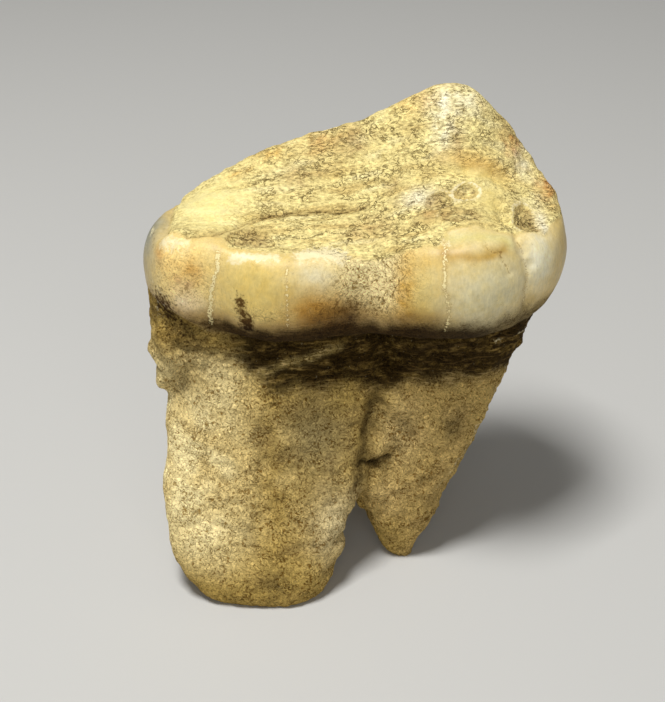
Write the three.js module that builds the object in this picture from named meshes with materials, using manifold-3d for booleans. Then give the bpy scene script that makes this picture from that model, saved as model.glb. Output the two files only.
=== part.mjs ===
// The last upper molar of a cave bear, standing on the tips of its three roots.
// X runs along the tooth towards its front end, Y from the tongue side to the cheek side, Z is up.
import * as THREE from "three";
import { mergeVertices } from "three/addons/utils/BufferGeometryUtils.js";
import Module from "manifold-3d";

// Driving dimensions, in millimetres
const NECK_HEIGHT = 30; // ground to the enamel's lower edge
const RIM_HEIGHT = 40.3; // ground to the worn chewing rim on the tongue side
const RIM_FRONT_Y = -10.5; // where the two long rims of the chewing surface run
const RIM_BACK_Y = 9;
const BASIN_DEPTH = 1.5;
const MIDLINE_REACH = 15; // insets run towards a line this far each way along the crown
const MIDLINE_SHARE = 0.85;
const RISE_LATE = 0.6; // how late the chewing surface turns up towards the cheek side
const SHOULDER_OUT = 0.8; // powers that square up the rounded shoulder
const SHOULDER_DOWN = 0.9;

// Crown seen from above, anticlockwise from its front end, with a point at each lobe and groove.
// x, y of the bulge; how far the rim lies inside it; height of the bulge; how far the neck lies inside; neck height
const CROWN = [
  [22.9, -1.2, 2.2, 36.5, 4.4, NECK_HEIGHT],
  [22.0, 3.2, 2.2, 37.0, 4.4, NECK_HEIGHT],
  [19.4, 7.6, 2.6, 37.6, 4.2, NECK_HEIGHT + 0.4],
  [15.2, 10.6, 3.8, 37.8, 3.4, NECK_HEIGHT + 0.8],
  [10.2, 11.9, 4.7, 38.0, 3.0, NECK_HEIGHT + 1.2],
  [5.2, 11.2, 3.6, 37.6, 2.6, NECK_HEIGHT + 1.2],
  [1.6, 10.5, 2.5, 37.2, 2.2, NECK_HEIGHT + 1.0],
  [-3.6, 11.1, 3.0, 37.2, 2.4, NECK_HEIGHT + 1.0],
  [-10.2, 10.4, 2.8, 36.6, 2.2, NECK_HEIGHT + 1.0],
  [-16.2, 8.3, 2.2, 35.8, 1.8, NECK_HEIGHT + 1.0],
  [-20.8, 4.7, 2.8, 35.0, 1.4, NECK_HEIGHT + 1.2],
  [-23.2, -0.4, 3.4, 34.6, 1.2, NECK_HEIGHT + 1.2],
  [-22.4, -5.0, 3.0, 34.8, 1.6, NECK_HEIGHT + 1.0],
  [-19.2, -8.7, 2.6, 35.2, 2.2, NECK_HEIGHT + 0.8],
  [-15.2, -9.6, 2.0, 35.4, 2.2, NECK_HEIGHT + 0.4],
  [-9.6, -11.7, 2.3, 35.0, 3.0, NECK_HEIGHT],
  [-4.0, -11.5, 2.2, 35.0, 3.0, NECK_HEIGHT],
  [1.6, -10.1, 1.7, 35.0, 2.2, NECK_HEIGHT],
  [7.0, -11.6, 2.3, 35.4, 3.2, NECK_HEIGHT],
  [12.4, -11.8, 2.8, 35.6, 3.6, NECK_HEIGHT],
  [16.6, -9.9, 2.6, 36.0, 3.6, NECK_HEIGHT],
  [18.6, -8.3, 2.3, 36.2, 3.8, NECK_HEIGHT],
  [21.5, -5.3, 2.2, 36.4, 4.2, NECK_HEIGHT],
];

// Chewing surface along the tooth: x, then how far the tongue-side and cheek-side rims stand above RIM_HEIGHT
const RIMS = [
  [-26, -0.6, -3.6],
  [-20, 0.4, -0.4],
  [-14, 0.6, 2.8],
  [-8, -0.1, 5.6],
  [-2, -0.1, 7.3],
  [1.6, 0.2, 9.0],
  [5, 0.6, 11.2],
  [8.6, 1.0, 13.3],
  [12, 1.3, 13.4],
  [15.4, 1.1, 10.4],
  [19, 0.7, 5.9],
  [22.5, -0.3, 2.4],
  [26, -1.4, 0.6],
];

// Low forms on it: x, y, half-widths along the tooth and across it, height (a pit is negative)
const FORMS = [
  [-3, 1.5, 10, 4.5, -BASIN_DEPTH],
  [-13.5, -2.0, 5, 1.6, -0.9],
  [-18.5, -6.0, 3, 2, 0.6],
  [10.5, -6.6, 4.2, 2.4, 0.9],
  [10.0, -2.7, 2.6, 1.2, -0.7],
  [18.2, -4.0, 1.4, 2.4, -0.8],
  [14.5, 0.2, 4.5, 1.6, -0.8],
  [-10.8, -6.3, 3.0, 1.8, -0.8],
  [-0.2, 8.6, 1.0, 1.6, -0.4],
  [21.0, 2.6, 1.2, 2.0, 0.9],
];

// Roots, downwards: height, x and y of the middle, half-widths along the tooth and across it
const BLADE_ROOT = [
  [35, -10.0, -1.2, 12.9, 7.0],
  [31.4, -9.9, -1.5, 13.2, 7.0],
  [28, -9.5, -2.7, 13.2, 6.0],
  [24, -8.8, -4.6, 12.0, 5.4],
  [18, -9.4, -7.0, 11.7, 5.2],
  [12, -10.3, -9.5, 11.3, 5.1],
  [7, -11.3, -11.8, 10.1, 4.9],
  [3.2, -11.1, -13.4, 9.1, 4.7],
  [0.6, -10.7, -14.4, 7.4, 3.9],
  [-0.9, -10.6, -14.7, 4.2, 2.3],
];
const FRONT_ROOT = [
  [35, 11.5, -0.8, 9.6, 7.0],
  [31.2, 11.2, -0.9, 9.2, 6.8],
  [27.6, 10.3, -1.4, 8.6, 6.2],
  [22, 9.1, -2.9, 7.4, 5.3],
  [15, 7.5, -4.8, 6.0, 4.3],
  [9, 5.8, -6.3, 4.8, 3.5],
  [4.5, 5.2, -7.2, 3.7, 2.7],
  [1.4, 5.1, -7.7, 2.1, 1.8],
  [-0.8, 5.6, -7.9, 0.9, 0.8],
];
const CHEEK_ROOT = [
  [35, -0.5, 4.6, 15.5, 5.4],
  [31, -0.5, 4.8, 15.5, 5.0],
  [27.5, -0.2, 5.1, 13.4, 4.6],
  [21, 0.2, 5.9, 9.8, 4.1],
  [13, 0.4, 7.0, 7.6, 3.6],
  [6, 0.4, 8.0, 5.6, 3.1],
  [1.6, 0.3, 8.5, 3.8, 2.3],
  [-0.8, 0.2, 8.6, 1.8, 1.1],
];
const SECTION_POWER = 2.5; // 2 is an ellipse, more is squarer
// Waves as shares of the radius: flutes round a root, rings down it, and dents of a lump
const FLUTES = 0.014;
const RINGS = 0.012;
const LUMP_DENTS = 0.16;

// Hard earth left in the cleft between the front roots, and the broken ledge below the back end of the crown:
// x, y, z of the middle, then three half-widths
const LUMPS = [
  [4.0, -5.5, 20.5, 4.4, 3.4, 6.0],
  [2.3, -7.7, 15.8, 2.2, 2.0, 1.6],
  [2.4, -7.0, 10.3, 3.0, 2.9, 4.6],
  [-19.4, -4.8, 27.0, 3.2, 3.8, 4.6],
  [-21.3, -5.8, 23.6, 1.1, 1.8, 2.0],
];

// Mesh steps, chosen so that the facets are about a millimetre and a half across
const CROWN_COLUMNS = 76;
const TOP_RINGS = 10;
const SHOULDER_RINGS = 4;
const UNDERSIDE_RINGS = 4;
const ROOT_ROWS = 22;
const BROAD_ROOT_SIDES = 44;
const SLIM_ROOT_SIDES = 34;
const LUMP_DETAIL = 3;
const LEAST_INSET = 0.001;
const WELD = 1e-4;
const GROUND_DEPTH = 10;
const SPAN = 80;

// Smooth curve through evenly spaced rows of numbers (uniform Catmull-Rom), at place t counted in rows.
function alongRows(rows, t, closed) {
  const at = (i) =>
    closed ? rows[((i % rows.length) + rows.length) % rows.length] : rows[Math.min(Math.max(i, 0), rows.length - 1)];
  const i = Math.floor(t);
  const f = t - i;
  const [a, b, c, d] = [at(i - 1), at(i), at(i + 1), at(i + 2)];
  return b.map(
    (v, k) => v + 0.5 * f * (c[k] - a[k] + f * (2 * a[k] - 5 * v + 4 * c[k] - d[k] + f * (3 * (v - c[k]) + d[k] - a[k]))),
  );
}

// The row of a table whose first number is x, by smooth steps between the two rows beside it.
function atX(rows, x) {
  let i = 0;
  while (i < rows.length - 2 && rows[i + 1][0] < x) i++;
  const f = THREE.MathUtils.clamp((x - rows[i][0]) / (rows[i + 1][0] - rows[i][0]), 0, 1);
  return alongRows(rows, i + f, false);
}

// Height of the chewing surface: from the tongue-side rim up to the cheek-side rim, with the low forms added.
function chewingHeight(x, y) {
  const [, tongue, cheek] = atX(RIMS, x);
  const across = THREE.MathUtils.clamp((y - RIM_FRONT_Y) / (RIM_BACK_Y - RIM_FRONT_Y), 0, 1);
  const rise = across * across * (1 + RISE_LATE * (1 - across));
  let z = RIM_HEIGHT + tongue + (cheek - tongue) * rise;
  for (const [fx, fy, wide, deep, height] of FORMS) {
    z += height * Math.exp(-(((x - fx) / wide) ** 2) - ((y - fy) / deep) ** 2);
  }
  return z;
}

// Closed skin over a stack of rings with the same number of points, drawn in to a point at each end.
function skin(top, rings, bottom) {
  const n = rings[0].length;
  const positions = [top, ...rings.flat(), bottom].flatMap((p) => [p.x, p.y, p.z]);
  const last = rings.length * n + 1;
  const index = [];
  for (let j = 0; j < n; j++) {
    const next = (j + 1) % n;
    index.push(0, 1 + j, 1 + next);
    index.push(last, last - n + next, last - n + j);
    for (let i = 0; i < rings.length - 1; i++) {
      const a = 1 + i * n;
      index.push(a + j, a + n + j, a + n + next, a + j, a + n + next, a + next);
    }
  }
  const geometry = new THREE.BufferGeometry();
  geometry.setAttribute("position", new THREE.Float32BufferAttribute(positions, 3));
  geometry.setIndex(index);
  return geometry;
}

// The enamel crown: the chewing surface, its rounded shoulder, the bulging wall and the underside drawn in to the neck.
function crownGeometry() {
  const columns = Array.from({ length: CROWN_COLUMNS }, (_, j) => alongRows(CROWN, (j / CROWN_COLUMNS) * CROWN.length, true));
  const inside = ([x, y], inset) => {
    const towards = new THREE.Vector2(THREE.MathUtils.clamp(x, -MIDLINE_REACH, MIDLINE_REACH) * MIDLINE_SHARE - x, -y).setLength(inset);
    return [x + towards.x, y + towards.y];
  };
  const rims = columns.map((c) => inside(c, c[2]));
  const rings = [];
  for (let i = 1; i <= TOP_RINGS; i++) {
    const out = i / TOP_RINGS;
    rings.push(rims.map(([x, y]) => new THREE.Vector3(x * out, y * out, chewingHeight(x * out, y * out))));
  }
  for (let i = 1; i <= SHOULDER_RINGS; i++) {
    const turn = ((i / SHOULDER_RINGS) * Math.PI) / 2;
    rings.push(
      columns.map((c, j) => {
        const [x, y] = inside(c, Math.max(c[2] * (1 - Math.sin(turn) ** SHOULDER_OUT), LEAST_INSET));
        return new THREE.Vector3(x, y, c[3] + (chewingHeight(...rims[j]) - c[3]) * Math.cos(turn) ** SHOULDER_DOWN);
      }),
    );
  }
  for (let i = 1; i <= UNDERSIDE_RINGS; i++) {
    const turn = ((i / UNDERSIDE_RINGS) * Math.PI) / 2;
    rings.push(
      columns.map((c) => {
        const [x, y] = inside(c, c[4] * (1 - Math.cos(turn)));
        return new THREE.Vector3(x, y, c[3] - (c[3] - c[5]) * Math.sin(turn));
      }),
    );
  }
  return skin(new THREE.Vector3(0, 0, chewingHeight(0, 0)), rings, new THREE.Vector3(0, 0, NECK_HEIGHT));
}

// A root: squared ellipses carried down a bent line, with faint ripples down its sides.
function rootGeometry(stations, sides) {
  const rings = [];
  for (let i = 0; i <= ROOT_ROWS; i++) {
    const [z, x, y, wide, deep] = alongRows(stations, (i / ROOT_ROWS) * (stations.length - 1), false);
    rings.push(
      Array.from({ length: sides }, (_, j) => {
        const angle = (j / sides) * 2 * Math.PI;
        const [c, s] = [Math.cos(angle), Math.sin(angle)];
        const ripple = 1 + FLUTES * Math.sin(5 * angle + 0.21 * z) + RINGS * Math.sin(0.9 * z + 3 * c);
        const radius = ripple / (Math.abs(c) ** SECTION_POWER + Math.abs(s) ** SECTION_POWER) ** (1 / SECTION_POWER);
        return new THREE.Vector3(x + wide * radius * c, y + deep * radius * s, z);
      }),
    );
  }
  const end = (row) => new THREE.Vector3(row[1], row[2], row[0]);
  return skin(end(stations[0]), rings, end(stations[stations.length - 1]));
}

// A rough lump: a ball stretched to its half-widths, dented by crossing waves.
function lumpGeometry([x, y, z, wide, deep, high]) {
  const ball = new THREE.IcosahedronGeometry(1, LUMP_DETAIL);
  const place = ball.attributes.position;
  const point = new THREE.Vector3();
  for (let i = 0; i < place.count; i++) {
    point.fromBufferAttribute(place, i);
    const dents = 1 + LUMP_DENTS * Math.sin(4.1 * point.x + 5.3 * point.z + x) * Math.cos(4.7 * point.y - 3.9 * point.z + z);
    place.setXYZ(i, ...point.multiplyScalar(dents).toArray());
  }
  return ball.scale(wide, deep, high).translate(x, y, z);
}

const wasm = await Module();
wasm.setup();

// A closed mesh as a solid that can be joined and cut.
function solid(geometry) {
  geometry.deleteAttribute("normal");
  geometry.deleteAttribute("uv");
  const merged = mergeVertices(geometry, WELD);
  return new wasm.Manifold(
    new wasm.Mesh({
      numProp: 3,
      vertProperties: merged.attributes.position.array,
      triVerts: new Uint32Array(merged.index.array),
    }),
  );
}

// Crown, roots and hard earth grown together, with the root tips worn flat where they stand.
function toothGeometry() {
  let whole = solid(crownGeometry())
    .add(solid(rootGeometry(BLADE_ROOT, BROAD_ROOT_SIDES)))
    .add(solid(rootGeometry(FRONT_ROOT, SLIM_ROOT_SIDES)))
    .add(solid(rootGeometry(CHEEK_ROOT, SLIM_ROOT_SIDES)));
  for (const lump of LUMPS) whole = whole.add(solid(lumpGeometry(lump)));
  const ground = new THREE.BoxGeometry(SPAN, SPAN, GROUND_DEPTH).translate(0, 0, -GROUND_DEPTH / 2);
  const bodies = whole.subtract(solid(ground)).decompose();
  // Gaps closed in behind the lumps are filled: only the outer skin is kept.
  const outer = bodies.reduce((most, body) => (body.volume() > most.volume() ? body : most));
  const mesh = outer.getMesh();
  const geometry = new THREE.BufferGeometry();
  geometry.setAttribute("position", new THREE.BufferAttribute(new Float32Array(mesh.vertProperties), 3));
  geometry.setIndex(new THREE.BufferAttribute(new Uint32Array(mesh.triVerts), 1));
  geometry.computeBoundingBox();
  const middle = geometry.boundingBox.getCenter(new THREE.Vector3());
  geometry.translate(-middle.x, -middle.y, 0);
  geometry.computeVertexNormals();
  return geometry;
}

const dentineAndEnamel = new THREE.MeshStandardMaterial({ color: 0xc8b27c, roughness: 0.7, metalness: 0 });

const tooth = new THREE.Mesh(toothGeometry(), dentineAndEnamel);
tooth.name = "tooth";

const part = new THREE.Group();
part.add(tooth);

export default part;
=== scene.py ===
"""A cave bear's last upper molar, standing on its roots on a pale studio floor."""

import math

import bpy
import numpy as np
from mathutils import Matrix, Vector


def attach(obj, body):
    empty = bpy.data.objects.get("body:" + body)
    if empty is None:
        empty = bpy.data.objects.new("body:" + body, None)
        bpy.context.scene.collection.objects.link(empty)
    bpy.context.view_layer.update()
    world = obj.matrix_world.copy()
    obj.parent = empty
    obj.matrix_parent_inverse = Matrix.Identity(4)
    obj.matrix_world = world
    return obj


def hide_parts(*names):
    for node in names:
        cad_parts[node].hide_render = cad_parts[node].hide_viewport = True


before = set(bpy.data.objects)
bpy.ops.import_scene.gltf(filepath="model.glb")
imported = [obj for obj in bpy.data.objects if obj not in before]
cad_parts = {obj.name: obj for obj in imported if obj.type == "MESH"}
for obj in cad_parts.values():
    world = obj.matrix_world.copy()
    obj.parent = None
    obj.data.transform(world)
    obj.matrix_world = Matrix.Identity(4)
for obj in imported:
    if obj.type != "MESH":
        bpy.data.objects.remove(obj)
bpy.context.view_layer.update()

# The camera
# A telephone held close over the tooth, looking down on its tongue side. The picture's long side
# is the sensor's 36 mm, and the target is a point inside the tooth, so no shift is needed.
MM = 0.001
SIGHT = Vector((-2.47, 3.4, 22.7)) * MM
DISTANCE = 170 * MM
LOOKING_DOWN = math.radians(32)
SENSOR = 36.0
FOCAL_LENGTH = 75.7

camera_data = bpy.data.cameras.new("camera")
camera_data.sensor_width = SENSOR
camera_data.lens = FOCAL_LENGTH
camera_data.clip_start = 0.01
camera = bpy.data.objects.new("camera", camera_data)
bpy.context.scene.collection.objects.link(camera)
towards_camera = Vector((0, -math.cos(LOOKING_DOWN), math.sin(LOOKING_DOWN)))
camera.location = SIGHT + towards_camera * DISTANCE
camera.rotation_euler = (-towards_camera).to_track_quat("-Z", "Y").to_euler()
bpy.context.scene.camera = camera

# The studio
# A pale matt sheet on the table, a soft box above and a little to the left, a faint fill in front,
# and an even grey room round them.
SOFT_BOX_SIZE = 0.11
SOFT_BOX_PLACE = Vector((-0.08, -0.075, 0.42))
SOFT_BOX_POWER = 1.7
FILL_SIZE = 0.5
FILL_PLACE = Vector((0.06, -0.6, 0.28))
FILL_POWER = 0.9
ROOM_GREY = (0.86, 0.85, 0.82, 1)
ROOM_STRENGTH = 0.17
FLOOR_HALF = 1.5


def linear(hex_colour):
    """A colour written as sRGB hex, as the linear red, green, blue and alpha that shaders take."""
    channels = [int(hex_colour[i : i + 2], 16) / 255 for i in (0, 2, 4)]
    return (*[c / 12.92 if c <= 0.04045 else ((c + 0.055) / 1.055) ** 2.4 for c in channels], 1)


def node(tree, kind, settings=(), links=()):
    """Adds a node. Settings are its properties or input values, and links are input to output socket."""
    new = tree.nodes.new(kind)
    for name, value in dict(settings).items():
        if isinstance(name, int) or name in new.inputs:
            new.inputs[name].default_value = value
        else:
            setattr(new, name, value)
    for name, socket in dict(links).items():
        tree.links.new(socket, new.inputs[name])
    return new


def soft_light(name, place, size, power):
    """A square area light at a place, facing the middle of the tooth."""
    data = bpy.data.lights.new(name, "AREA")
    data.size = size
    data.energy = power
    lamp = bpy.data.objects.new(name, data)
    lamp.location = place
    lamp.rotation_euler = (SIGHT - place).to_track_quat("-Z", "Y").to_euler()
    bpy.context.scene.collection.objects.link(lamp)


soft_light("soft_box", SOFT_BOX_PLACE, SOFT_BOX_SIZE, SOFT_BOX_POWER)
soft_light("fill", FILL_PLACE, FILL_SIZE, FILL_POWER)

room = bpy.data.worlds.new("room")
room.use_nodes = True
room.node_tree.nodes["Background"].inputs["Color"].default_value = ROOM_GREY
room.node_tree.nodes["Background"].inputs["Strength"].default_value = ROOM_STRENGTH
bpy.context.scene.world = room
bpy.context.scene.view_settings.view_transform = "Standard"


def matt_sheet():
    """Pale matt photographer's card: no gloss, so it only takes the soft shadow."""
    material = bpy.data.materials.new("matt_card")
    material.use_nodes = True
    surface = material.node_tree.nodes["Principled BSDF"]
    surface.inputs["Base Color"].default_value = linear("C9C8C4")
    surface.inputs["Roughness"].default_value = 0.9
    surface.inputs["Specular IOR Level"].default_value = 0.2
    return material


floor_mesh = bpy.data.meshes.new("floor")
corners = [(-1, -1), (1, -1), (1, 1), (-1, 1)]
floor_mesh.from_pydata([(x * FLOOR_HALF, y * FLOOR_HALF, 0) for x, y in corners], [], [(0, 1, 2, 3)])
floor_mesh.materials.append(matt_sheet())
floor = bpy.data.objects.new("floor", floor_mesh)
bpy.context.scene.collection.objects.link(floor)

# The tooth
# One grown piece: an enamel crown on dentine, worn at the top, over roots coated in cementum, with
# hard earth in the cleft of the front roots. Sizes are millimetres, x along the tooth towards its
# front end, y from the tongue side to the cheek side, z up from the root tips.
NECK = 30.0
RIM = 40.3
RIM_FRONT_Y, RIM_BACK_Y = -10.5, 9.0

# The crown from above, anticlockwise from its front end: x, y of the bulge, how far the rim lies
# inside it, the bulge's height, how far the neck lies inside it, and the neck's height.
CROWN = np.array([
    (22.9, -1.2, 2.2, 36.5, 4.4, NECK),
    (22.0, 3.2, 2.2, 37.0, 4.4, NECK),
    (19.4, 7.6, 2.6, 37.6, 4.2, NECK + 0.4),
    (15.2, 10.6, 3.8, 37.8, 3.4, NECK + 0.8),
    (10.2, 11.9, 4.7, 38.0, 3.0, NECK + 1.2),
    (5.2, 11.2, 3.6, 37.6, 2.6, NECK + 1.2),
    (1.6, 10.5, 2.5, 37.2, 2.2, NECK + 1.0),
    (-3.6, 11.1, 3.0, 37.2, 2.4, NECK + 1.0),
    (-10.2, 10.4, 2.8, 36.6, 2.2, NECK + 1.0),
    (-16.2, 8.3, 2.2, 35.8, 1.8, NECK + 1.0),
    (-20.8, 4.7, 2.8, 35.0, 1.4, NECK + 1.2),
    (-23.2, -0.4, 3.4, 34.6, 1.2, NECK + 1.2),
    (-22.4, -5.0, 3.0, 34.8, 1.6, NECK + 1.0),
    (-19.2, -8.7, 2.6, 35.2, 2.2, NECK + 0.8),
    (-15.2, -9.6, 2.0, 35.4, 2.2, NECK + 0.4),
    (-9.6, -11.7, 2.3, 35.0, 3.0, NECK),
    (-4.0, -11.5, 2.2, 35.0, 3.0, NECK),
    (1.6, -10.1, 1.7, 35.0, 2.2, NECK),
    (7.0, -11.6, 2.3, 35.4, 3.2, NECK),
    (12.4, -11.8, 2.8, 35.6, 3.6, NECK),
    (16.6, -9.9, 2.6, 36.0, 3.6, NECK),
    (18.6, -8.3, 2.3, 36.2, 3.8, NECK),
    (21.5, -5.3, 2.2, 36.4, 4.2, NECK),
])

# The chewing surface along the tooth: x, then the height over RIM of the tongue-side and the
# cheek-side rim.
RIMS = np.array([
    (-26, -0.6, -3.6), (-20, 0.4, -0.4), (-14, 0.6, 2.8), (-8, -0.1, 5.6), (-2, -0.1, 7.3),
    (1.6, 0.2, 9.0), (5, 0.6, 11.2), (8.6, 1.0, 13.3), (12, 1.3, 13.4), (15.4, 1.1, 10.4),
    (19, 0.7, 5.9), (22.5, -0.3, 2.4), (26, -1.4, 0.6),
])

# Low forms on it: x, y, half-widths along and across the tooth, height (a pit is negative).
FORMS = [
    (-3, 1.5, 10, 4.5, -1.5),
    (-13.5, -2.0, 5, 1.6, -0.9),
    (-18.5, -6.0, 3, 2, 0.6),
    (10.5, -6.6, 4.2, 2.4, 0.9),
    (10.0, -2.7, 2.6, 1.2, -0.7),
    (18.2, -4.0, 1.4, 2.4, -0.8),
    (14.5, 0.2, 4.5, 1.6, -0.8),
    (-10.8, -6.3, 3.0, 1.8, -0.8),
    (-0.2, 8.6, 1.0, 1.6, -0.4),
    (21.0, 2.6, 1.2, 2.0, 0.9),
]

# Roots, downwards: height, x and y of the middle, half-widths along and across the tooth.
BLADE_ROOT = np.array([
    (35, -10.0, -1.2, 12.9, 7.0), (31.4, -9.9, -1.5, 13.2, 7.0), (28, -9.5, -2.7, 13.2, 6.0),
    (24, -8.8, -4.6, 12.0, 5.4), (18, -9.4, -7.0, 11.7, 5.2), (12, -10.3, -9.5, 11.3, 5.1),
    (7, -11.3, -11.8, 10.1, 4.9), (3.2, -11.1, -13.4, 9.1, 4.7), (0.6, -10.7, -14.4, 7.4, 3.9),
    (-0.9, -10.6, -14.7, 4.2, 2.3),
])
FRONT_ROOT = np.array([
    (35, 11.5, -0.8, 9.6, 7.0), (31.2, 11.2, -0.9, 9.2, 6.8), (27.6, 10.3, -1.4, 8.6, 6.2),
    (22, 9.1, -2.9, 7.4, 5.3), (15, 7.5, -4.8, 6.0, 4.3), (9, 5.8, -6.3, 4.8, 3.5),
    (4.5, 5.2, -7.2, 3.7, 2.7), (1.4, 5.1, -7.7, 2.1, 1.8), (-0.8, 5.6, -7.9, 0.9, 0.8),
])
CHEEK_ROOT = np.array([
    (35, -0.5, 4.6, 15.5, 5.4), (31, -0.5, 4.8, 15.5, 5.0), (27.5, -0.2, 5.1, 13.4, 4.6),
    (21, 0.2, 5.9, 9.8, 4.1), (13, 0.4, 7.0, 7.6, 3.6), (6, 0.4, 8.0, 5.6, 3.1),
    (1.6, 0.3, 8.5, 3.8, 2.3), (-0.8, 0.2, 8.6, 1.8, 1.1),
])
# The power of the squared ellipses across a root, where 2 would be a plain ellipse
SECTION_POWER = 2.5

# Hard earth in the cleft, and the broken ledge below the crown's rear end: x, y, z of the middle,
# then three half-widths.
LUMPS = [
    (4.0, -5.5, 20.5, 4.4, 3.4, 6.0),
    (2.3, -7.7, 15.8, 2.2, 2.0, 1.6),
    (2.4, -7.0, 10.3, 3.0, 2.9, 4.6),
    (-19.4, -4.8, 27.0, 3.2, 3.8, 4.6),
    (-21.3, -5.8, 23.6, 1.1, 1.8, 2.0),
]
LUMP_DENTS = 0.16

# Size in millimetres of the voxels of the one skin, and how finely the first skins are divided
VOXEL = 0.3
CROWN_COLUMNS, TOP_RINGS, SIDE_RINGS = 420, 70, 30
ROOT_SIDES, ROOT_ROWS = 200, 160
LUMP_SIDES, LUMP_ROWS = 60, 40


def along_rows(rows, t, closed):
    """Uniform Catmull-Rom curve through the rows of a table, at places t counted in rows."""
    count = len(rows)
    first = np.floor(t).astype(int)
    f = (t - first)[:, None]
    steps = [first - 1, first, first + 1, first + 2]
    steps = [s % count if closed else np.clip(s, 0, count - 1) for s in steps]
    a, b, c, d = [rows[s] for s in steps]
    return b + 0.5 * f * (c - a + f * (2 * a - 5 * b + 4 * c - d + f * (3 * (b - c) + d - a)))


def at_x(rows, x):
    """Rows of a table at places x of its first column, on the same curve."""
    i = np.clip(np.searchsorted(rows[:, 0], x) - 1, 0, len(rows) - 2)
    f = np.clip((x - rows[i, 0]) / (rows[i + 1, 0] - rows[i, 0]), 0, 1 - 1e-9)
    return along_rows(rows, i + f, False)


def chewing_height(x, y):
    """Tongue-side rim height, blended to the cheek-side rim by a cubic in y, plus Gaussian forms."""
    shape = np.shape(x)
    x, y = np.ravel(x), np.ravel(y)
    rims = at_x(RIMS, x)
    across = np.clip((y - RIM_FRONT_Y) / (RIM_BACK_Y - RIM_FRONT_Y), 0, 1)
    rise = across * across * (1.6 - 0.6 * across)
    z = RIM + rims[:, 1] + (rims[:, 2] - rims[:, 1]) * rise
    for fx, fy, wide, deep, height in FORMS:
        z = z + height * np.exp(-(((x - fx) / wide) ** 2) - ((y - fy) / deep) ** 2)
    return z.reshape(shape)


# Insets are drawn towards a middle line: x cut off at this many millimetres, and then shortened
MIDDLE_HALF, MIDDLE_DRAW = 15, 0.85


def inside(columns, inset):
    """The crown's outline moved inwards by an inset, towards a line along the middle of the crown."""
    x, y = columns[:, 0], columns[:, 1]
    dx, dy = np.clip(x, -MIDDLE_HALF, MIDDLE_HALF) * MIDDLE_DRAW - x, -y
    scale = inset / np.hypot(dx, dy)
    return x + dx * scale, y + dy * scale


def crown_rings():
    """Rings from the middle of the chewing surface out to the rim, over a quarter ellipse to the
    bulge, and round a second quarter ellipse to the neck."""
    columns = along_rows(CROWN, np.arange(CROWN_COLUMNS) / CROWN_COLUMNS * len(CROWN), True)
    rim_x, rim_y = inside(columns, columns[:, 2])
    rim_z = chewing_height(rim_x, rim_y)
    rings = []
    for out in np.arange(1, TOP_RINGS + 1) / TOP_RINGS:
        rings.append((rim_x * out, rim_y * out, chewing_height(rim_x * out, rim_y * out)))
    for turn in np.arange(1, SIDE_RINGS + 1) / SIDE_RINGS * math.pi / 2:
        x, y = inside(columns, columns[:, 2] * (1 - math.sin(turn) ** 0.8))
        rings.append((x, y, columns[:, 3] + (rim_z - columns[:, 3]) * max(math.cos(turn), 0) ** 0.9))
    for turn in np.arange(1, SIDE_RINGS + 1) / SIDE_RINGS * math.pi / 2:
        x, y = inside(columns, columns[:, 4] * (1 - math.cos(turn)))
        rings.append((x, y, columns[:, 3] - (columns[:, 3] - columns[:, 5]) * math.sin(turn)))
    top = (0, 0, float(chewing_height(np.array([0.0]), np.array([0.0]))[0]))
    return top, np.array(rings).transpose(0, 2, 1), (0, 0, NECK)


def root_rings(stations):
    """Squared ellipses carried down a bent line, with faint ripples down their sides."""
    rows = along_rows(stations, np.arange(ROOT_ROWS + 1) / ROOT_ROWS * (len(stations) - 1), False)
    z, x, y, wide, deep = [column[:, None] for column in rows.T]
    angle = np.arange(ROOT_SIDES)[None, :] / ROOT_SIDES * 2 * math.pi
    c, s = np.cos(angle), np.sin(angle)
    ripple = 1 + 0.014 * np.sin(5 * angle + 0.21 * z) + 0.012 * np.sin(0.9 * z + 3 * c)
    radius = ripple / (abs(c) ** SECTION_POWER + abs(s) ** SECTION_POWER) ** (1 / SECTION_POWER)
    rings = np.stack([x + wide * radius * c, y + deep * radius * s, z + 0 * c], axis=2)
    return rows[0, [1, 2, 0]], rings, rows[-1, [1, 2, 0]]


def lump_rings(x, y, z, wide, deep, high):
    """A ball as rings of latitude, dented by crossing waves and stretched to its half-widths."""
    tilt = np.arange(1, LUMP_ROWS)[:, None] / LUMP_ROWS * math.pi
    angle = np.arange(LUMP_SIDES)[None, :] / LUMP_SIDES * 2 * math.pi
    ball = np.stack([np.sin(tilt) * np.cos(angle), np.sin(tilt) * np.sin(angle), np.cos(tilt) + 0 * angle], 2)
    across, along, up = np.moveaxis(ball, 2, 0)
    waves = np.sin(4.1 * across + 5.3 * up + x) * np.cos(4.7 * along - 3.9 * up + z)
    rings = ball * (1 + LUMP_DENTS * waves)[..., None] * (wide, deep, high) + (x, y, z)
    return (x, y, z + high), rings, (x, y, z - high)


def skin(top, rings, bottom):
    """Corners and faces of a closed skin over a stack of rings, drawn in to a point at each end."""
    count, sides = rings.shape[:2]
    corners = np.vstack([[top], rings.reshape(-1, 3), [bottom]])
    here = 1 + np.arange(count * sides).reshape(count, sides)
    beside = np.roll(here, -1, axis=1)
    walls = np.stack([here[:-1], here[1:], beside[1:], here[:-1], beside[1:], beside[:-1]], 2).reshape(-1, 3)
    lid = np.stack([np.zeros(sides, int), here[0], beside[0]], 1)
    base = np.stack([np.full(sides, len(corners) - 1), beside[-1], here[-1]], 1)
    return corners, np.vstack([walls, lid, base])


def mesh_of(name, corners, faces):
    """A mesh from arrays of corners, in millimetres, and of triangles or quads."""
    mesh = bpy.data.meshes.new(name)
    mesh.from_pydata((corners * MM).tolist(), [], faces.tolist())
    return mesh


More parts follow.
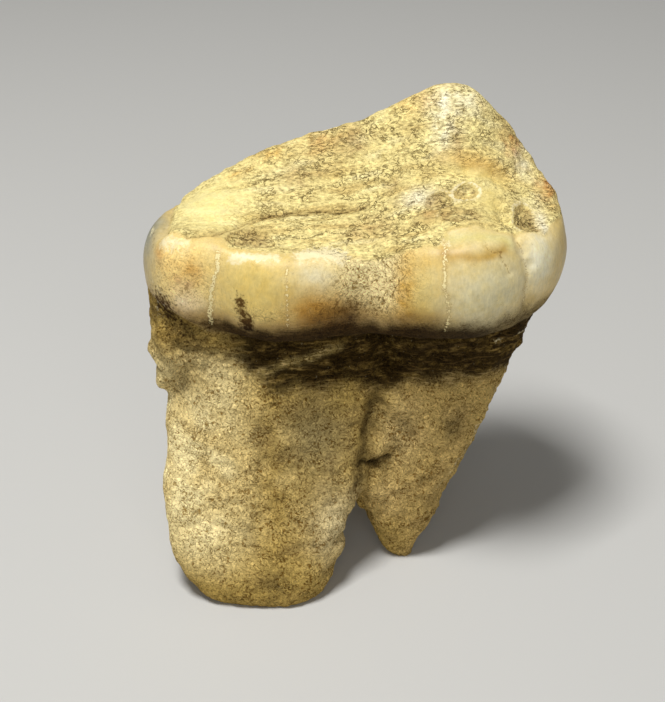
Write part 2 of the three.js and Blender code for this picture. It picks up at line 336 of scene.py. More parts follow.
def grown_together(skins):
    """One closed skin round overlapping ones: a voxel remesh, read back as arrays."""
    starts = np.cumsum([0] + [len(corners) for corners, _ in skins[:-1]])
    corners = np.vstack([corners for corners, _ in skins])
    faces = np.vstack([faces + start for (_, faces), start in zip(skins, starts)])
    rough = bpy.data.objects.new("rough", mesh_of("rough", corners, faces))
    bpy.context.scene.collection.objects.link(rough)
    remesh = rough.modifiers.new("one skin", "REMESH")
    remesh.mode = "VOXEL"
    remesh.voxel_size = VOXEL * MM
    joined = bpy.data.meshes.new_from_object(rough.evaluated_get(bpy.context.evaluated_depsgraph_get()))
    places = np.empty(len(joined.vertices) * 3)
    joined.vertices.foreach_get("co", places)
    quads = np.empty(len(joined.polygons) * 4, int)
    joined.polygons.foreach_get("vertices", quads)
    bpy.data.objects.remove(rough)
    bpy.data.meshes.remove(joined)
    return places.reshape(-1, 3) / MM, quads.reshape(-1, 4)


skins = [skin(*crown_rings())]
skins += [skin(*root_rings(stations)) for stations in (BLADE_ROOT, FRONT_ROOT, CHEEK_ROOT)]
skins += [skin(*lump_rings(*lump)) for lump in LUMPS]
standing = np.vstack([corners[corners[:, 2] >= 0] for corners, _ in skins])
middle = np.append((standing.min(0)[:2] + standing.max(0)[:2]) / 2, 0)
places, quads = grown_together(skins)


def relaxed(places, quads, share, rounds):
    """Each corner moved by a share of the way to the mean of its neighbours, a number of times."""
    a = quads.ravel()
    b = np.roll(quads, -1, axis=1).ravel()
    ends, others = np.concatenate([a, b]), np.concatenate([b, a])
    neighbours = np.bincount(ends, minlength=len(places))[:, None]
    for _ in range(rounds):
        sums = [np.bincount(ends, places[others, k], minlength=len(places)) for k in range(3)]
        places = places + share * (np.stack(sums, 1) / neighbours - places)
    return places


def outward(places, quads):
    """Unit normals of the corners, from the cross products of their faces' diagonals."""
    across = np.cross(places[quads[:, 2]] - places[quads[:, 0]], places[quads[:, 3]] - places[quads[:, 1]])
    sums = [np.bincount(quads.ravel(), np.repeat(across[:, k], 4), minlength=len(places)) for k in range(3)]
    normals = np.stack(sums, 1)
    return normals / np.linalg.norm(normals, axis=1, keepdims=True)


def lumps(points, size, seed):
    """Smooth random field, about -1 to 1, with lumps as wide as size: random gradients at the
    corners of a lattice, blended by fifth-power ramps. Size may differ along each axis."""
    rng = np.random.default_rng(seed)
    table = rng.permutation(256)
    slopes = rng.normal(size=(256, 3))
    slopes /= np.linalg.norm(slopes, axis=1, keepdims=True)
    cell = points / np.asarray(size)
    base = np.floor(cell).astype(int)
    f = cell - base
    ramp = f**3 * (f * (f * 6 - 15) + 10)
    total = np.zeros(len(points))
    for corner in np.ndindex(2, 2, 2):
        key = (base + corner) % 256
        pick = table[(table[(table[key[:, 0]] + key[:, 1]) % 256] + key[:, 2]) % 256]
        weight = np.prod(np.where(np.array(corner) == 1, ramp, 1 - ramp), axis=1)
        total += weight * np.sum(slopes[pick] * (f - corner), axis=1)
    return total * 1.6


def ramp_between(value, low, high):
    """0 below low and 1 above high, by a smooth S between them."""
    t = np.clip((value - low) / (high - low), 0, 1)
    return t * t * (3 - 2 * t)


def spot(places, *shape):
    """1 at a point and falling off from it along a bell curve. The shape is the point, then its
    half-widths, one for each coordinate of the places."""
    middle, halves = np.split(np.array(shape, float), 2)
    return np.exp(-np.sum(((places - middle) / halves) ** 2, axis=1))


def trace(places, points):
    """Distance from each place to a bent line through points."""
    nearest = np.full(len(places), 1e9)
    for start, end in zip(np.array(points[:-1], float), np.array(points[1:], float)):
        along = end - start
        t = np.clip((places - start) @ along / (along @ along), 0, 1)
        nearest = np.minimum(nearest, np.linalg.norm(places - start - t[:, None] * along, axis=1))
    return nearest


def bell(distance, wide):
    """1 on a line and falling off beside it along a bell curve."""
    return np.exp(-((distance / wide) ** 2))


RELAX_SHARE, RELAX_ROUNDS = 0.5, 6
places = relaxed(places, quads, RELAX_SHARE, RELAX_ROUNDS)
normals = outward(places, quads)
x, y, z = places.T

# Lines and stains are laid on wandering places, so that none of their edges is smooth: the size of
# the lumps that push the places about, how far they push, and the first of three seeds
WANDERING = [(2.2, 0.3, 30), (0.8, 0.16, 40)]
wander = places
for size, push, seed in WANDERING:
    wander = wander + push * np.stack([lumps(places, size, seed + k) for k in range(3)], 1)

# Seen from above, and from the tongue side
top, face = wander[:, :2], wander[:, [0, 2]]
in_front = ramp_between(-y, 2, 4)

# Where each tissue lies. The wear line is the front edge of the worn surface: x and y.
WEAR_LINE = np.array([
    (-24, -1), (-20.4, -5), (-18, -7.2), (-14.4, -6.4), (-13.4, -8.7), (-8, -9.3), (-5, -9.1),
    (-1.5, -9.5), (1, -9.8), (5, -9.8), (8.4, -9.6), (9.3, -8), (15.6, -7.8), (17, -7.2),
    (19.6, -6), (21, -3.5), (23, 0),
])
TISSUE_EDGE = 0.5
neck_line = NECK + 0.2 + 0.9 * ramp_between(y, -8, 6) + 2.6 * ramp_between(-x, 14.5, 22)
neck_line += 0.35 * lumps(places, 2.5, 1)
enamel = ramp_between(z, neck_line, neck_line + TISSUE_EDGE)
root = 1 - enamel
behind_wear_line = y - np.interp(x, WEAR_LINE[:, 0], WEAR_LINE[:, 1]) + 0.3 * lumps(places, 1.2, 14)
chewing = enamel * ramp_between(behind_wear_line, 0, TISSUE_EDGE) * ramp_between(normals[:, 2], 0.3, 0.55)
chewing *= ramp_between(z, 38, 39) * ramp_between(x + 0.3 * lumps(places, 1.2, 15), -20.4, -20.1)
wall = enamel * (1 - chewing)

# Grooves and cracks of the worn surface (x and y), and of the enamel wall and the roots (x and z)
PLATEAU_RIM = [
    [
        (-19.3, -6.9), (-17.1, -6.7), (-14.9, -5.6), (-13.3, -4.0), (-11.9, -1.8), (-10, -1.1),
        (-7.2, -0.6), (-3.0, -1.1), (1, -1.1),
    ],
    [(-19.8, 4.1), (-20.5, 0.4), (-20.5, -5.0)],
]
VALLEY = [(3.6, 0.4), (9.9, -0.2), (16.4, 1.1)]
WRINKLES = [
    [(-8.1, -1.9), (-6.3, -2.5), (-2.1, -2.6)],
    [(-7.6, -4.9), (-5.6, -5.9), (-3.4, -5.1), (-1.4, -5.6), (0.6, -5)],
    [(0.5, -3.6), (3.5, -2.6), (6.0, -2.4)],
    [(-16, 3.6), (-12, 3.2), (-8, 4.2)],
]
FRONT_GROOVE = [(14.9, -3.4), (15.8, -5.7), (16.4, -7.7), (16.9, -9.5)]
WALL_GROOVE = [(16.6, 41.6), (17.3, 40.3), (17.7, 37.8), (18, 33.5)]
PALE_CRACKS = [
    [(-14.3, 40.2), (-14.8, 38.2), (-15.3, 36.2), (-15.7, 31.7)],
    [(8.9, 41.5), (8.9, 37.8), (9.3, 35.8), (9.3, 32.4)],
]
FAINT_CRACKS = [[(-7.4, 39.6), (-7.2, 33)], [(17.7, 37.8), (17.9, 34)]]
DARK_CRACK = [(13, 41.6), (14.5, 40.8), (14.9, 39.7), (15.7, 38.6)]
CLEFT = [(2.6, 24.6), (2.0, 21.0), (1.0, 16.5), (0.4, 12.6)]
EARTH_CRACK = [(1.0, 14.6), (2.2, 13.7), (3.6, 14.2)]

# Pits of the worn surface: x and y of the middle, half-widths, depth, and how pale the rim is. The
# rim lies where the pit's bell curve is at PIT_RIM.
PITS = [
    (-11.3, -6.2, 2.6, 1.9, 0.5, 0), (11.6, -2.2, 1.3, 0.8, 0.45, 1), (8.6, -3.2, 1.6, 1.2, 0.4, 0.6),
    (10.8, -5.9, 2.2, 1.1, 0.3, 0.2), (17.9, -4.6, 1.25, 2.5, 0.12, 0.7),
]
PIT_RIM, PIT_RIM_WIDTH, PIT_RIM_HEIGHT = 0.26, 0.08, 0.1

# The lobes of the enamel wall, other swellings, and hollows: x, y, z, three half-widths, height
BULGES = [
    (-18.5, -8.5, 37.5, 2.8, 3, 3.6, 0.35), (-9.5, -10.8, 37, 4.6, 3, 4, 0.35),
    (1.2, -10, 37, 2.6, 3, 4, -0.35), (6.2, -11, 37, 2, 3, 4, 0.15), (12.6, -11, 37.2, 3.8, 3, 4, 0.5),
    (18.9, -7.4, 38.6, 1.6, 2.4, 4, 0.35), (9.4, 3.8, 48.7, 1.3, 4, 4, 0.3),
    (-15, 1.5, 40.6, 4, 3.4, 3, 0.3), (-3.5, -11.3, 18, 3.6, 3, 5.5, -0.7),
    (-1.4, -14.2, 6.6, 1.0, 2.4, 0.7, -0.9), (-2.9, -15.5, 3.4, 1.0, 2.4, 0.6, -0.6),
    (6.4, -9.2, 17.2, 0.7, 2, 0.6, -0.7),
]


def nearest(places, lines):
    """Distance from each place to the nearest of several bent lines."""
    return np.minimum.reduce([trace(places, line) for line in lines])


# A line belongs to one side of the tooth, or to the worn surface. Elsewhere this is added to the
# distance from it.
OUT_OF_REACH = 9
off_front, off_top = OUT_OF_REACH * (1 - in_front), OUT_OF_REACH * (1 - chewing)
edge = nearest(top, PLATEAU_RIM)
groove = np.minimum(trace(top, FRONT_GROOVE) + off_top, trace(face, WALL_GROOVE) + off_front)
wrinkle = nearest(top, WRINKLES)
pale_crack = nearest(face, PALE_CRACKS) + off_front
faint_crack = nearest(face, FAINT_CRACKS) + off_front
dark_crack = trace(face, DARK_CRACK) + off_front
cleft = trace(face, CLEFT) + off_front
earth_crack = trace(face, EARTH_CRACK) + off_front

# What stands or sinks along each line: the distance from it, the tissue, height and half-width
along_lines = [
    (edge, enamel, -0.5, 0.6),
    (groove, 1, -0.45, 0.5),
    (wrinkle, chewing, -0.22, 0.3),
    (pale_crack, 1, 0.08, 0.25),
    (dark_crack, 1, -0.14, 0.25),
    (trace(top, VALLEY), chewing, -0.4, 0.8),
    (cleft, root, -0.5, 0.8),
    (earth_crack, root, -0.5, 0.3),
]
forms, pits, pit_rims = np.zeros((3, len(places)))
for distance, tissue, height, half_width in along_lines:
    forms += height * tissue * bell(distance, half_width)
for *pit, depth, paleness in PITS:
    inner = chewing * spot(top, *pit)
    rim = bell(inner - PIT_RIM, PIT_RIM_WIDTH)
    forms += PIT_RIM_HEIGHT * rim - depth * ramp_between(inner, 0.3, 0.55)
    pits = np.maximum(pits, ramp_between(inner, 0.32, 0.46))
    pit_rims = np.maximum(pit_rims, paleness * rim)
for *bulge, height in BULGES:
    forms += height * spot(places, *bulge)


def rough(*layers):
    """Lumps of several sizes added up. A layer is its height, its size and its seed."""
    return sum(height * lumps(places, size, seed) for height, size, seed in layers)


# Relief of the tissues. The root is calmer on the ledge at the rear end and near the tips, and in
# layers under the crown. The worn surface is calmer on its plateau and on the tip of the cusp.
PLATEAU = (-16, 0.6, 40.6, 4.6, 5.6, 5)
UNDER_CROWN, UNDER_CROWN_HALF = 27.8, 2.4
on_ledge = ramp_between(-x, 16, 20.5)
near_tips = ramp_between(-z, -8, -3) * ramp_between(x, -20.5, -16)
root_relief = rough((0.36, 6, 2), (0.32, 2.4, 3), (0.2, 1.1, 4), (0.14, 0.6, 5))
root_relief *= 1 - 0.55 * on_ledge - 0.45 * near_tips
layered = rough((0.3, (5, 5, 0.8), 12), (0.16, (3, 3, 0.45), 13))
root_relief += bell(z - UNDER_CROWN, UNDER_CROWN_HALF) * layered
wall_relief = rough((0.18, 4, 6), (0.03, 1.2, 7))
chewing_relief = rough((0.14, 3, 9), (0.28, (5.0, 1.2, 1.6), 8), (0.12, 1.1, 10), (0.09, 0.6, 11))
chewing_relief *= 1 - 0.6 * spot(places, *PLATEAU) - 0.6 * ramp_between(z, 46.5, 49.5)
relief = root * root_relief + wall_relief * (enamel - chewing) + chewing * chewing_relief + forms
places = places + normals * relief[:, None]
places[:, 2] = np.maximum(places[:, 2], 0)

tooth_mesh = mesh_of("tooth_surface", places - middle, quads)
tooth_mesh.shade_smooth()

# Colours of the tissues and of the stains in them, one for each corner
tint = np.zeros((len(places), 4)) + linear("AE924D")
mottle = 0.5 + 0.5 * lumps(places, 2.6, 20)
fine_mottle = 0.5 + 0.5 * lumps(places, 0.9, 21)
patchy = 0.45 + 0.75 * ramp_between(fine_mottle, 0.25, 0.75)


def stain(colour, share):
    """Mixes a colour into the tint, by a share for each corner."""
    share = np.clip(share, 0, 1)[:, None]
    tint[:] = tint * (1 - share) + np.array(linear(colour)) * share


def spots(*rows):
    """Spots added up. A row is a share, then a middle and half-widths: of x, y and z, or x and y."""
    return sum(share * spot(wander[:, : len(shape) // 2], *shape) for share, *shape in rows)


def stain_spots(tissue, stains):
    """Stains in spots: each has a colour, how far patches break it up, and its spots."""
    for colour, broken, *rows in stains:
        stain(colour, tissue * (1 - broken + broken * patchy) * spots(*rows))


# Cementum of the roots
stain("8F7643", root * ramp_between(mottle, 0.35, 0.9) * 0.6)
# The roots' left end, up under the crown, painted paler: painted light where the lamp from the left falls on
# them.
stain("F0DDA2", root * ramp_between(-x, 9, 17) * ramp_between(-z, -29.5, -25) * ramp_between(z, 2, 9))
stain("9C8550", root * spots((0.8, -18.5, -8.5, 24.5, 3.6, 4, 3.4)))
stain("D2B878", root * ramp_between(mottle, 0.7, 0.3) * ramp_between(-x, 2, 12) * bell(z - 16, 8) * 0.85)
stain_spots(root, [
    ("7D7252", 0, (0.7, -4.5, -11, 18.5, 4.5, 4, 5), (0.7, 5, -9, 17.5, 2.5, 3, 4)),
    ("C9AE72", 0, (0.8, 4.4, -9.4, 18.5, 2.2, 2.5, 4.5), (0.8, 3.4, -9.6, 9.5, 2.4, 2.5, 3.6)),
])
stain("BCA168", root * 0.5 * ramp_between(x, 3, 7))
stain_spots(root, [
    ("5A4E32", 1, (0.6, 10.8, -8.4, 17.8, 1.8, 3, 1.8)),
    ("D2C090", 0, (0.9, -2.2, -14, 8.5, 3.4, 4, 4.5)),
])
# Painted shade in the cleft, along the blade root's edge next to the front root.
stain("3E3018", root * 0.7 * bell(cleft, 0.75))
stain("2A1E0A", root * 0.9 * bell(earth_crack, 0.3))
stain("5A4C2A", root * ramp_between(fine_mottle, 0.2, 0.6) * spots((0.55, -18, -8, 29.5, 4, 4, 2.2)))
stain("4A3D24", root * ramp_between(fine_mottle, 0.15, 0.5) * spots((0.7, -9.2, -17, 3.2, 1.8, 3, 1.5)))

# Dark earth packed under the crown, with paler threads. The darkness is partly painted shadow of the crown's
# overhang, and its lower edge follows where that shadow ends.
DARK_EARTH_AND_SHADE = "281A04"
THREAD = [(-12, 25.4), (-7, 26.8), (-2, 28.6)]
earth_and_shadow_line = 22.8 + 3.4 * ramp_between(-x, 8, 15) - 0.8 * bell(x - 3, 2.5) + 0.8 * lumps(places, 1.8, 23)
under_crown = root * ramp_between(wander[:, 2], earth_and_shadow_line, earth_and_shadow_line + 2.4)
threads = ramp_between(lumps(wander, (3, 3, 0.5), 22) + 0.4 * lumps(places, 0.6, 27), 0, 0.5)
stain(DARK_EARTH_AND_SHADE, under_crown * (0.18 + 0.79 * ramp_between(x, -16, -11)))
stain("7C6430", under_crown * threads * 0.5)
stain("A08A52", under_crown * in_front * 0.75 * patchy * bell(trace(face, THREAD), 0.45))

# Enamel wall, from its rear end to its front end, then the shelf over its front lobe
SHELF_EDGE = [(8.8, 40.9), (12, 41.0), (14.8, 40.9)]
threads_of_enamel = lumps(places, (0.5, 2.4, 1.0), 25)
stain("DFC684", wall)
stain_spots(wall, [
    ("FBE096", 1, (1.4, -18.6, -8.6, 38, 3.4, 4, 3.6)),
    ("CF9C52", 1, (0.8, -17.3, -8.8, 38.4, 1.0, 3, 1.4), (0.8, -20.7, -6.4, 38.8, 0.8, 3, 0.9)),
    ("E4B864", 0.7, (0.6, -18.8, -8.4, 38.2, 2.6, 3, 1.7)),
    ("BE9264", 1, (0.7, -18.2, -8.8, 36.7, 1.2, 3, 0.9)),
    ("F8E2B8", 0, (0.9, -18, -8.9, 34.3, 1.8, 3, 1.6)),
    ("E2C878", 0, (1.2, -10.5, -10.8, 37.2, 4.4, 4, 3.8)),
    ("E4E0C4", 0, (0.7, -4.4, -10.6, 38.7, 2.4, 2, 1.1)),
    ("BE8A2A", 0.5, (1.4, -3.3, -11.2, 34.8, 3.5, 4, 2.2)),
    ("F6E2A6", 0, (1.4, 1.6, -9.9, 38.2, 3.8, 4, 3.8)),
    ("C6A260", 1, (0.2, 2.4, -10, 36.6, 3.2, 4, 2.6)),
    ("CA962C", 0.6, (1, 5.1, -10.6, 36.0, 1.2, 4, 4.5)),
    ("E4CA7A", 0, (1, 7.0, -11.2, 36.6, 1.7, 4, 3.6)),
    ("D4AE3E", 0, (0.6, 6.8, -11, 34.4, 1.3, 4, 1.5)),
    ("E4D8AA", 0, (1.4, 13.2, -10.4, 36.4, 4.2, 5, 4.2)),
])
shelf = bell(y + 8.8, 0.8) * ramp_between(x, 8.4, 9.4) * ramp_between(-x, -16.5, -15.5)
stain("D8CC8E", wall * shelf * ramp_between(z, 40.6, 41.2))
stain("D8B460", wall * spots((0.6, 6.9, -10.2, 40.3, 2.0, 2, 0.9)))
stain("BC9640", wall * 0.8 * bell(trace(face, SHELF_EDGE), 0.5) * in_front)
# The first spot is a painted highlight on the lobe at the crown's front end; the second is grey enamel at the
# rear end.
stain_spots(wall, [
    ("FFF8D6", 0, (1.25, 18.9, -7.4, 38.8, 1.9, 2.8, 2.6)),
    ("8F9082", 0, (1.1, -22.4, -0.6, 38.4, 2.2, 4.6, 4.0)),
])
stain("D2B878", wall * ramp_between(y, -2, 4) * 0.7)

# The enamel's lower edge, browned and then darkened to near black where the wall turns under the crown:
# partly earth stain, partly painted shade.
amber_side = ramp_between(x, -9, -4)
edge_top = 33.6 + 1.2 * amber_side + 0.3 * bell(x + 3.5, 3.5) - 0.9 * bell(x - 2.6, 2.4)
edge_top += 0.5 * lumps(places, 1.5, 26)
lower_edge = ramp_between(edge_top - z, 0, 2.2 + 0.6 * amber_side)
brown_edge = ramp_between(edge_top + 1 - z, 0, 1.8) * (1 - 0.7 * ramp_between(x, 7.5, 10))
stain("966E2E", wall * 0.55 * brown_edge)
blackest = ramp_between(x, -17, -13) * ramp_between(-x, -16, -12)
# Painted shade, with earth, on the underside of the enamel's lower edge
stain("2E1E08", wall * lower_edge * (0.75 + 0.22 * blackest))
stain_spots(wall, [("4E300E", 0.4, (0.6, -1.6, -10.6, 34.2, 2.8, 4, 1.8))])
# A thin band along the neck in front, painted almost black: earth, and painted shade in the crease under the
# crown's overhang.
neck_earth_and_shade = bell(z - neck_line - 0.2, 0.45) * in_front * ramp_between(x, -16, -11)
stain(DARK_EARTH_AND_SHADE, 0.96 * neck_earth_and_shade)

# The worn chewing surface: dentine, with enamel left along its rims
plateau = spot(wander, *PLATEAU)
smooth_front = spots((1, 14, -3.4, 2.2, 3.2), (1, 13, 0.6, 4, 1.0))
streaks = lumps(places, (6, 1.1, 1.6), 24)
stain("E4D28E", chewing)
stain("B99A58", chewing * 0.5 * ramp_between(streaks, 0.1, 0.6))
stain("F0E4AC", chewing * 0.5 * ramp_between(-streaks, 0.15, 0.6))
stain("BDA362", chewing * 0.4 * ramp_between(mottle, 0.45, 0.95))
stain("EEE09C", chewing * plateau)
stain_spots(chewing, [
    ("D8B060", 1, (0.8, -12.9, 5.6, 42.6, 1.6, 0.8, 2), (0.8, -9.2, 6.9, 44.2, 1.6, 0.8, 2)),
    ("D0A868", 1, (0.7, -4, 7.2, 45.8, 2.2, 1.6, 2)),
    ("E2BC6C", 1, (0.8, 6.8, 7.0, 50.6, 2.8, 1.6, 1.8)),
    ("CB9650", 1, (1, 17.2, 4.8, 46.4, 1.2, 2, 1.9)),
    ("C08848", 1, (1, 20.6, 1.6, 42.6, 1.1, 2, 1.6)),
    ("F4EDCA", 1, (0.7, 10.6, 6.2, 51, 3, 2, 1.6), (0.7, 9.4, 3.6, 48.8, 1.2, 3, 2.6)),
    ("F4EDCA", 1, (0.6, 18, 3.6, 45, 1.2, 2, 1.4)),
    ("8A6238", 1, (0.5, 10.8, 2.4, 0.7, 1.2), (0.5, 0.3, 5.3, 1.0, 0.6), (0.5, 3.7, 0.4, 0.9, 0.6)),
    ("A98A5C", 1, (0.5, -6.2, 3.8, 43, 2.4, 2, 2), (0.5, -0.2, 6.6, 46.2, 2, 1.8, 2)),
    ("B8955E", 1, (0.6, 1.0, -5.4, 41, 3, 2, 2), (0.6, 7.8, -5.2, 42.8, 1.6, 1, 2)),
])
stain("DDCB84", chewing * 0.8 * smooth_front)
stain_spots(chewing, [
    ("D9A448", 0, (0.5, 13, 1.2, 4, 0.7)),
    ("F4EED2", 0, (0.7, 6.4, -2.2, 43, 1.8, 1.1, 2), (0.8, 19.6, -4.4, 0.7, 2.4)),
])
stain("9A7A48", pits * ramp_between(fine_mottle, 0.1, 0.6) * 0.5)
stain("7E5E2C", bell(edge, 0.3) * 0.6 * chewing)

tint_layer = tooth_mesh.attributes.new("tint", "FLOAT_COLOR", "POINT")
tint_layer.data.foreach_set("color", tint.astype(np.float32).ravel())


def keep_mask(name, values):
    """Stores one number for each corner of the tooth, for its material to read."""
    tooth_mesh.attributes.new(name, "FLOAT", "POINT").data.foreach_set("value", values.astype(np.float32))


# How sandy the surface is: cementum and worn dentine fully, the crusted waist of the wall partly,
# and the rest of the enamel not at all
waist = spots(
    (0.65, -18.5, -8.6, 37, 3.5, 4, 4), (1.5, 1.6, -9.6, 38.2, 3.8, 4, 5),
    (0.6, -9.6, -11, 34.4, 2.6, 4, 1.1),
)
crust = np.clip(waist, 0, 1) + spots((0.6, -2.6, -11, 34.8, 3.2, 4, 2.2))
crust = np.maximum.reduce([crust, 0.9 * lower_edge, neck_earth_and_shade])
smooth = np.clip(0.9 * plateau + 0.7 * smooth_front + 0.5 * pit_rims, 0, 0.85)
keep_mask("sandy", np.clip(root + chewing * (1 - smooth) + wall * crust, 0, 1))
keep_mask("worn", chewing)

# Where earth is packed, for the fibres in it: under the crown, and on the wall's lower edge
earthy_edge = 0.4 * wall * lower_edge * ramp_between(-x, -7, -4)
earth = np.maximum.reduce([under_crown * ramp_between(x, -15, -10), neck_earth_and_shade, earthy_edge])
keep_mask("earth", earth * in_front)

# Where white flecks lie: worn facets along the wall's shoulder, rims of pits, frayed edges. A facet
# is its share, its half-width and its line from above.
FACETS = [
    (1, 0.6, [(-13, -9.5), (-8.4, -9.8)]),
    (0.85, 0.7, [(-20.6, -6), (-19.6, -6.8), (-18, -7.6)]),
    (0.85, 1, [(-5.9, -9.5), (-3.9, -9.1), (-1.7, -9.4)]),
]
NECK_EDGE = [(15.2, -7, 28.6), (17.9, -5.4, 29.2), (19.6, -3.6, 30.4)]
ROOT_EDGE = [(17, -5, 24.5), (14.8, -6.3, 19.2), (12, -7.6, 14), (9.2, -8.8, 9.9)]
shoulder = enamel * in_front * ramp_between(z, 39, 39.6)
flecks = shoulder * sum(share * bell(trace(top, line), half_width) for share, half_width, line in FACETS)
flecks += enamel * spots((0.7, -3.8, -8.4, 40.6, 2.8, 1.3, 2), (0.9, 8.9, -9.6, 41.8, 0.6, 0.9, 0.6))
flecks += 1.1 * pit_rims
flecks += 0.8 * bell(trace(wander, NECK_EDGE), 0.26)
flecks += 0.55 * root * bell(trace(wander, ROOT_EDGE), 0.4)
flecks += wall * ramp_between(threads_of_enamel, 0.2, 0.5) * spots((0.8, -21.8, -0.6, 38.8, 1.6, 4.2, 2))
flecks += ramp_between(threads_of_enamel, 0, 0.4) * spots((1, -21.2, -6, 33.4, 2.4, 2, 2.2))
keep_mask("flecks", flecks)

# Where brown grime may stick, in specks
grime = spots(
    (1, -12.2, -10.8, 35.5, 0.8, 2, 1.2), (1.3, -11.6, -10.5, 33.1, 0.9, 2, 1.6),
    (0.95, -20.8, -6.9, 32.9, 2.6, 2.5, 2.4), (0.3, 1.5, -10, 34.4, 4, 2.5, 1.6),
    (0.45, -18, -8, 29.5, 4, 4, 2), (0.4, -9.2, -17, 3.2, 2, 3, 1.6),
)
rear_end = spots((0.55, -21.5, -3.6, 39.2, 1.0, 1.8, 1.6))
grime += enamel * ramp_between(threads_of_enamel, 0.1, 0.4) * rear_end + 0.38 * pits
keep_mask("grime", grime)

# Distances in millimetres from the pale and the dark cracks. The pale crack at the rear end counts
# as nearer, so it is drawn wider, and the faint cracks and the long grooves as farther.
REAR_CRACK_NEARER, FAINT_CRACK_FARTHER, GROOVE_FARTHER = 0.1, 0.05, 0.04
pale_line = pale_crack - REAR_CRACK_NEARER * (x < 0)
keep_mask("pale_crack", np.minimum(pale_line, faint_crack + FAINT_CRACK_FARTHER))
dark_lines = [wrinkle + off_top, dark_crack, groove + GROOVE_FARTHER, edge + GROOVE_FARTHER + off_top]
keep_mask("dark_crack", np.minimum.reduce(dark_lines))

# The material's numbers. A change of colour is what it multiplies the tint's red, green and blue by.
BLACK_PORE = (0.5, 0.38, 0.2)
YELLOWED = (1.0, 0.92, 0.66)
PALE_FIBRE = (3.7, 3.9, 5.0)
CAKED_GRIME = (0.11, 0.06, 0.03)
BESIDE_PALE_CRACK, INSIDE_PALE_CRACK = (0.6, 0.48, 0.3), (0.5, 0.36, 0.18)
INSIDE_DARK_CRACK = (0.36, 0.26, 0.14)
PALE_FILLING = (1.05, 1.02, 0.85)
GLOSSY_ROUGHNESS, SANDY_ROUGHNESS = 0.42, 0.9
GLOSSY_REFLECTION, SANDY_REFLECTION = 0.4, 0.08
GRAIN_DEPTH, GLOSSY_SHARE_OF_GRAIN = 0.36, 0.12


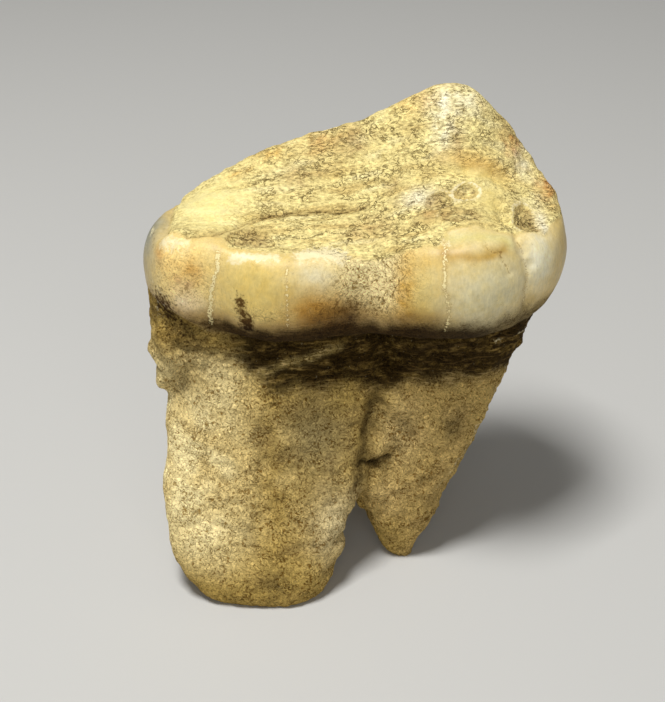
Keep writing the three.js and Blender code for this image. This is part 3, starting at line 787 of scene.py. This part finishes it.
def grown_tooth():
    """Fossil enamel, dentine and cementum, grown and then stained in the ground: the tint, broken
    up by fine grains, pores, fibres and specks."""
    material = bpy.data.materials.new("fossil_enamel_and_cementum")
    material.use_nodes = True
    tree = material.node_tree
    surface = tree.nodes["Principled BSDF"]

    def noise(size, detail, vector, twist=0.0):
        """Noise with lumps of a size in millimetres, 0 to 1."""
        settings = {"Scale": 1 / (size * MM), "Detail": detail, "Roughness": 0.65, "Distortion": twist}
        return node(tree, "ShaderNodeTexNoise", settings, {"Vector": vector}).outputs["Fac"]

    def between(value, low, high, start=0.0, end=1.0):
        """From start to end as the value goes from low to high, and level outside."""
        settings = {"From Min": low, "From Max": high, "To Min": start, "To Max": end}
        return node(tree, "ShaderNodeMapRange", settings, {"Value": value}).outputs["Result"]

    def math_of(operation, *values):
        """One sum, product or other operation on values."""
        return node(tree, "ShaderNodeMath", {"operation": operation}, dict(enumerate(values))).outputs[0]

    def kept(name, output="Fac"):
        """What the mesh keeps under a name."""
        return node(tree, "ShaderNodeAttribute", {"attribute_name": name}).outputs[output]

    def blend(share, first, second):
        """A number between two numbers, by a share of the second."""
        return node(tree, "ShaderNodeMix", {"data_type": "FLOAT"}, {0: share, 2: first, 3: second}).outputs[0]

    def mixed(share, first, second):
        """A colour between two colours, by a share of the second."""
        return node(tree, "ShaderNodeMix", {"data_type": "RGBA"}, {0: share, 6: first, 7: second}).outputs[2]

    def scaled(vector, by):
        """A colour or a place multiplied by three numbers."""
        return node(tree, "ShaderNodeVectorMath", {"operation": "MULTIPLY", 1: by}, {0: vector}).outputs[0]

    place = node(tree, "ShaderNodeTexCoord").outputs["Object"]
    tint, sandy, worn = kept("tint", "Color"), kept("sandy"), kept("worn")
    along = scaled(place, (0.6, 1, 1.2))
    upright = scaled(place, (1, 1, 0.25))
    around = scaled(place, (0.3, 0.6, 1.6))

    # Sandy tissue: grains with dark pores between them, wavy dashes here and there, pale specks.
    # On the worn surface they are drawn out along the tooth.
    grain = blend(worn, noise(0.4, 4, place, 1.4), noise(0.34, 4, along))
    patches = noise(2.2, 3, place)
    waves = blend(worn, noise(0.5, 2, place), noise(0.7, 2, along))
    dashes = between(math_of("ABSOLUTE", between(waves, 0, 1, -0.5, 0.5)), 0, 0.035, 0.75, 0)
    dashes = math_of("MULTIPLY", dashes, between(patches, 0.44, 0.6))
    dashes = math_of("MULTIPLY", dashes, between(worn, 0, 1, 0.5, 1))
    pores = math_of("ADD", grain, between(patches, 0.3, 0.7, 0.05, -0.05))
    pores = math_of("MULTIPLY", between(pores, 0.46, 0.37), between(worn, 0, 1, 1, 0.4))
    dark = math_of("MULTIPLY", math_of("MAXIMUM", dashes, pores), sandy)
    specks = between(between(noise(0.25, 2, place), 0.58, 0.7), 0, 1, 1, 1.4)
    grains = blend(worn, between(grain, 0.3, 0.7, 0.52, 1.9), between(grain, 0.3, 0.7, 0.58, 1.56))

    # Enamel: faint clouds, upright streaks and yellowed patches
    clouds = between(noise(1.1, 5, place), 0.3, 0.7, 0.88, 1.1)
    streaks = between(noise(0.24, 4, upright), 0.3, 0.7, 0.9, 1.1)
    yellow = between(noise(1.5, 5, place), 0.42, 0.62, 0, 0.6)
    yellow = math_of("MULTIPLY", yellow, between(sandy, 0, 1, 1, 0))
    strength = blend(sandy, math_of("MULTIPLY", clouds, streaks), math_of("MULTIPLY", grains, specks))
    colour = node(
        tree, "ShaderNodeVectorMath", {"operation": "SCALE"},
        {0: mixed(yellow, tint, scaled(tint, YELLOWED)), "Scale": strength},
    ).outputs[0]
    colour = mixed(dark, colour, scaled(tint, BLACK_PORE))

    # Earth under the crown: thin pale fibres that run round the tooth
    fibres = math_of("MULTIPLY", between(noise(0.42, 5, around), 0.52, 0.6, 0, 0.75), kept("earth"))
    colour = mixed(fibres, colour, scaled(tint, PALE_FIBRE))

    # White flecks, and grime in specks
    cream = node(tree, "ShaderNodeRGB")
    cream.outputs[0].default_value = linear("F6E8BA")
    flecks = math_of("ADD", kept("flecks"), between(noise(0.4, 4, place), 0.3, 0.7, -0.45, 0.45))
    colour = mixed(between(flecks, 0.35, 0.95, 0, 0.9), colour, cream.outputs[0])
    grime = math_of("ADD", kept("grime"), between(noise(0.45, 5, place), 0.3, 0.7, -0.55, 0.55))
    grime = between(grime, 0.4, 0.95, 0, 0.95)
    colour = mixed(grime, colour, scaled(tint, CAKED_GRIME))

    # Cracks, drawn thin and uneven round the lines that the mesh keeps
    uneven = noise(0.3, 3, place)
    pale_line = math_of("ADD", kept("pale_crack"), between(uneven, 0.3, 0.7, -0.24, 0.24))
    dark_line = math_of("ADD", kept("dark_crack"), between(uneven, 0.3, 0.7, -0.13, 0.13))
    pale_crack = between(pale_line, 0.13, 0.05)
    dark_crack = between(dark_line, 0.11, 0.02, 0, 0.6)
    colour = mixed(between(pale_line, 0.28, 0.14, 0, 0.65), colour, scaled(tint, BESIDE_PALE_CRACK))
    colour = mixed(pale_crack, colour, scaled(cream.outputs[0], PALE_FILLING))
    colour = mixed(between(pale_line, -0.11, -0.17, 0, 0.8), colour, scaled(tint, INSIDE_PALE_CRACK))
    colour = mixed(dark_crack, colour, scaled(tint, INSIDE_DARK_CRACK))
    tree.links.new(colour, surface.inputs["Base Color"])

    dull = math_of("MAXIMUM", sandy, grime)
    roughness = between(dull, 0, 1, GLOSSY_ROUGHNESS, SANDY_ROUGHNESS)
    reflection = between(dull, 0, 1, GLOSSY_REFLECTION, SANDY_REFLECTION)
    tree.links.new(roughness, surface.inputs["Roughness"])
    tree.links.new(reflection, surface.inputs["Specular IOR Level"])
    surface.inputs["IOR"].default_value = 1.5
    height = math_of("SUBTRACT", math_of("ADD", grain, pale_crack), math_of("ADD", dashes, dark_crack))
    relief = {"Height": height, "Strength": between(sandy, 0, 1, GLOSSY_SHARE_OF_GRAIN, 1)}
    bump = node(tree, "ShaderNodeBump", {"Distance": GRAIN_DEPTH * MM}, relief)
    tree.links.new(bump.outputs["Normal"], surface.inputs["Normal"])
    return material


tooth_mesh.materials.append(grown_tooth())
tooth = bpy.data.objects.new("tooth_surface", tooth_mesh)
bpy.context.scene.collection.objects.link(tooth)
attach(tooth, "root")
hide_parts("tooth")
